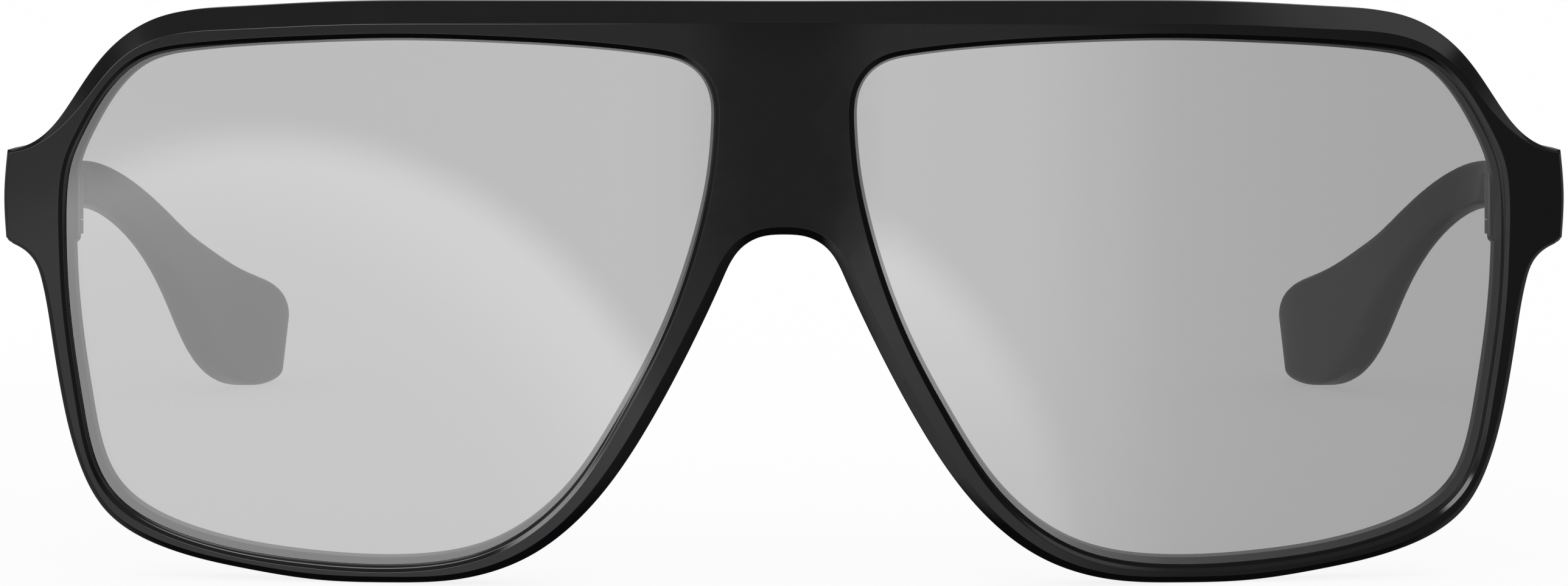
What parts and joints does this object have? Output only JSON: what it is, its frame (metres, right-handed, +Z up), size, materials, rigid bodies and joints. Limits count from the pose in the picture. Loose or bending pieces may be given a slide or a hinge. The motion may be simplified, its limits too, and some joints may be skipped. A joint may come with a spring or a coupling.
{
  "type": "smart glasses",
  "caption": "Glossy black navigator smart glasses with light grey lenses and folding temples that hold the battery, speaker, microphone, touch strip and button.",
  "frame": {"origin": "middle of the footprint, on the table, with the temples open and the glasses standing on their rims and tails", "axes": "+X to the wearer's left, -Y out of the front of the lenses, +Z up from the table"},
  "size_m": [0.1484, 0.157, 0.055],
  "materials": {
    "frame_nylon": "polished",
    "cover_nylon": "satin",
    "button_nylon": "polished",
    "lens_polycarbonate": "clear, grey tint",
    "hinge_steel": "satin",
    "screw_steel": "satin",
    "core_steel": "satin",
    "battery_foil": "satin",
    "board_laminate": "satin",
    "touch_foil": "satin",
    "speaker_can": "satin",
    "speaker_mesh": "satin",
    "microphone_can": "satin",
    "switch_can": "satin",
    "contact_gold": "polished",
    "light_pipe": "clear"
  },
  "bodies": {
    "front": {"front_frame": "frame_nylon", "left_lens": "lens_polycarbonate", "right_lens": "lens_polycarbonate", "left_hinge_front_leaf": "hinge_steel", "left_hinge_screw": "screw_steel", "right_hinge_front_leaf": "hinge_steel", "right_hinge_screw": "screw_steel"},
    "left_temple": {"left_temple_shell": "frame_nylon", "left_temple_cover": "cover_nylon", "left_cover_screws": "screw_steel", "left_hinge_temple_leaf": "hinge_steel", "left_core_wire": "core_steel", "left_battery": "battery_foil", "left_circuit_board": "board_laminate", "left_touch_sensor": "touch_foil", "left_speaker": "speaker_can", "left_speaker_mesh": "speaker_mesh", "left_microphone": "microphone_can", "left_tact_switch": "switch_can", "left_charging_contacts": "contact_gold", "left_light_pipe": "light_pipe"},
    "left_button": {"left_button": "button_nylon"},
    "right_temple": {"right_temple_shell": "frame_nylon", "right_temple_cover": "cover_nylon", "right_cover_screws": "screw_steel", "right_hinge_temple_leaf": "hinge_steel", "right_core_wire": "core_steel", "right_battery": "battery_foil", "right_circuit_board": "board_laminate", "right_touch_sensor": "touch_foil", "right_speaker": "speaker_can", "right_speaker_mesh": "speaker_mesh", "right_microphone": "microphone_can", "right_tact_switch": "switch_can", "right_charging_contacts": "contact_gold", "right_light_pipe": "light_pipe"},
    "right_button": {"right_button": "button_nylon"}
  },
  "joints": [
    {"name": "left_temple_hinge", "type": "hinge", "parent": "front", "child": "left_temple", "pos_m": [0.0676, -0.05711, 0.03442], "axis": [0, 0.122, 0.9925], "range_deg": [0, 84]},
    {"name": "right_temple_hinge", "type": "hinge", "parent": "front", "child": "right_temple", "pos_m": [-0.0676, -0.05711, 0.03442], "axis": [0, -0.122, -0.9925], "range_deg": [0, 63]},
    {"name": "left_button_press", "type": "slide", "parent": "left_temple", "child": "left_button", "axis": [0, 0.122, 0.9925], "range_m": [0, 0.00025], "stiffness_N_per_m": 2000, "springref_m": -0.0003},
    {"name": "right_button_press", "type": "slide", "parent": "right_temple", "child": "right_button", "axis": [0, 0.122, 0.9925], "range_m": [0, 0.00025], "stiffness_N_per_m": 2000, "springref_m": -0.0003}
  ]
}
